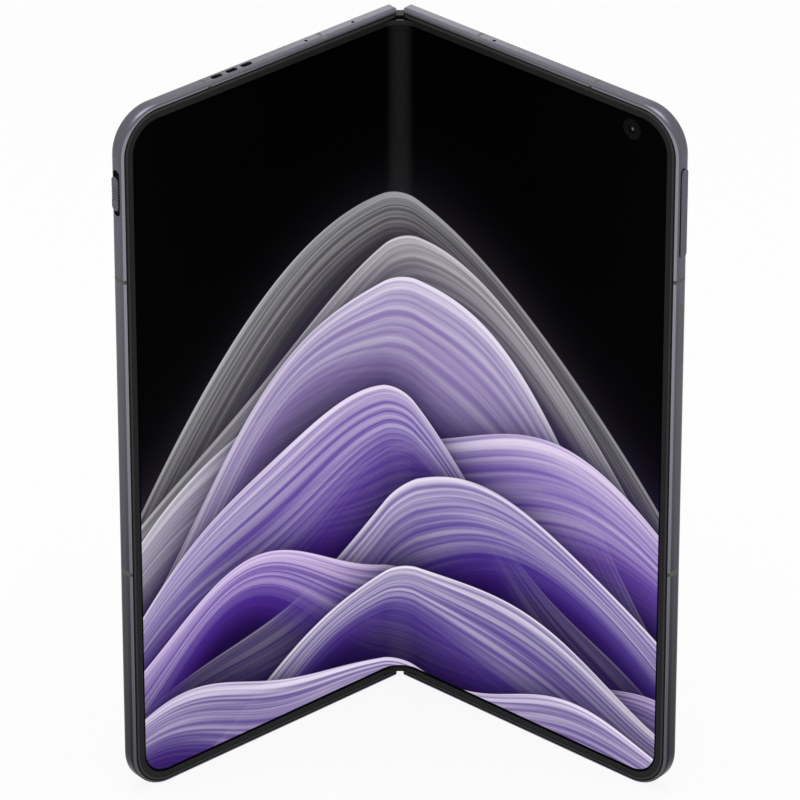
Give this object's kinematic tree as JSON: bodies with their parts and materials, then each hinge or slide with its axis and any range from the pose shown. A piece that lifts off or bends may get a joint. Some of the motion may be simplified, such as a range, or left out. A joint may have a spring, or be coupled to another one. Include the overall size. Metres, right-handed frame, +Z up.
{
  "type": "foldable smartphone",
  "caption": "Book-style folding smartphone with a bendable inner screen, geared two-axis hinge, outer screen, rear camera island, side keys, alert slider and SIM tray.",
  "frame": {"origin": "middle of the footprint, on the surface that the half-open phone stands on", "axes": "+Z up along the fold, +X to the right as the inner screen is seen, +Y away from the viewer, out of the back of the hinge"},
  "size_m": [0.1151, 0.0498, 0.1609],
  "materials": {
    "anodised_rim": "bead blasted, anodised dark violet grey",
    "spine_metal": "anodised, satin",
    "cap_polymer": "moulded, satin",
    "hinge_steel": "ground steel",
    "gear_steel": "sintered steel",
    "bezel_polymer": "soft polymer, matt",
    "antenna_polymer": "moulded in, matt",
    "folding_screen": "polymer over thin glass, glossy, lit",
    "carbon_plate": "woven carbon laminate",
    "cover_glass": "toughened glass, black behind",
    "rear_glass": "etched glass, satin",
    "lens_glass": "coated lens glass",
    "flash_diffuser": "ribbed diffuser",
    "module_black": "moulded module",
    "battery_foil": "laminate pouch",
    "board_green": "solder masked laminate",
    "plated_steel": "plated sheet steel",
    "key_metal": "anodised like the rim"
  },
  "bodies": {
    "spine": {"spine_cover": "spine_metal", "spine_end_caps": "cap_polymer", "hinge_base_rails": "hinge_steel", "hinge_base_gears": "hinge_steel", "display_bend": "folding_screen", "bezel_bend": "bezel_polymer"},
    "left_half": {"left_frame": "anodised_rim", "left_antenna_breaks": "antenna_polymer", "left_bezel": "bezel_polymer", "left_display": "folding_screen", "left_support_plate": "carbon_plate", "left_hinge_wing": "hinge_steel", "left_gear_sector": "gear_steel", "left_screws": "plated_steel", "cover_display": "cover_glass", "cover_camera": "lens_glass", "left_battery": "battery_foil", "sub_board": "board_green", "top_speaker": "module_black", "haptic_motor": "plated_steel", "slider_switch": "plated_steel"},
    "right_half": {"right_frame": "anodised_rim", "right_antenna_breaks": "antenna_polymer", "right_bezel": "bezel_polymer", "right_display": "folding_screen", "right_support_plate": "carbon_plate", "right_hinge_wing": "hinge_steel", "right_gear_sector": "gear_steel", "right_screws": "plated_steel", "rear_cover": "rear_glass", "camera_island": "anodised_rim", "rear_lenses": "lens_glass", "rear_camera_modules": "module_black", "flash_lens": "flash_diffuser", "inner_camera": "lens_glass", "main_board": "board_green", "shield_can": "plated_steel", "right_battery": "battery_foil", "usb_port": "plated_steel", "bottom_speaker": "module_black", "sim_reader": "plated_steel", "power_switch": "plated_steel", "volume_switches": "plated_steel"},
    "idler_outer_left": {"idler_outer_left": "gear_steel"},
    "idler_inner_left": {"idler_inner_left": "gear_steel"},
    "idler_inner_right": {"idler_inner_right": "gear_steel"},
    "idler_outer_right": {"idler_outer_right": "gear_steel"},
    "alert_slider": {"alert_slider": "key_metal"},
    "power_button": {"power_button": "key_metal"},
    "volume_rocker": {"volume_rocker": "key_metal"},
    "sim_tray": {"sim_tray": "key_metal"}
  },
  "joints": [
    {"name": "left_fold", "type": "hinge", "parent": "spine", "child": "left_half", "pos_m": [-0.00085, 0.02189, 0.08044], "axis": [0, 0, 1], "range_deg": [-40.4, 49.6], "deforming": ["display_bend", "bezel_bend"]},
    {"name": "right_fold", "type": "hinge", "parent": "spine", "child": "right_half", "pos_m": [0.00085, 0.02189, 0.08044], "axis": [0, 0, 1], "range_deg": [-49.6, 40.4]},
    {"name": "idler_outer_left_spin", "type": "hinge", "parent": "spine", "child": "idler_outer_left", "pos_m": [-0.00165, 0.02334, 0.08044], "axis": [0, 0, 1], "range_deg": [-99.2, 80.8]},
    {"name": "idler_inner_left_spin", "type": "hinge", "parent": "spine", "child": "idler_inner_left", "pos_m": [-0.00055, 0.02334, 0.08044], "axis": [0, 0, 1], "range_deg": [-80.8, 99.2]},
    {"name": "idler_inner_right_spin", "type": "hinge", "parent": "spine", "child": "idler_inner_right", "pos_m": [0.00055, 0.02334, 0.08044], "axis": [0, 0, 1], "range_deg": [-99.2, 80.8]},
    {"name": "idler_outer_right_spin", "type": "hinge", "parent": "spine", "child": "idler_outer_right", "pos_m": [0.00165, 0.02334, 0.08044], "axis": [0, 0, 1], "range_deg": [-80.8, 99.2]},
    {"name": "alert_slide", "type": "slide", "parent": "left_half", "child": "alert_slider", "axis": [0, 0, 1], "range_m": [-0.0013, 0.0013]},
    {"name": "power_press", "type": "slide", "parent": "right_half", "child": "power_button", "axis": [-0.7615, 0.6481, 0], "range_m": [0, 0.0002], "stiffness_N_per_m": 900, "springref_m": -0.0005},
    {"name": "volume_rock", "type": "hinge", "parent": "right_half", "child": "volume_rocker", "pos_m": [0.05557, -0.02264, 0.13887], "axis": [0.6481, 0.7615, 0], "range_deg": [-1.1, 1.1], "stiffness_Nm_per_rad": 0.06},
    {"name": "tray_slide", "type": "slide", "parent": "right_half", "child": "sim_tray", "axis": [0, 0, -1], "range_m": [0, 0.0165]}
  ],
  "couplings": [
    {"joint": "right_fold", "follows": "left_fold", "ratio": -1},
    {"joint": "idler_outer_left_spin", "follows": "left_fold", "ratio": -2},
    {"joint": "idler_inner_left_spin", "follows": "left_fold", "ratio": 2},
    {"joint": "idler_inner_right_spin", "follows": "left_fold", "ratio": -2},
    {"joint": "idler_outer_right_spin", "follows": "left_fold", "ratio": 2}
  ]
}
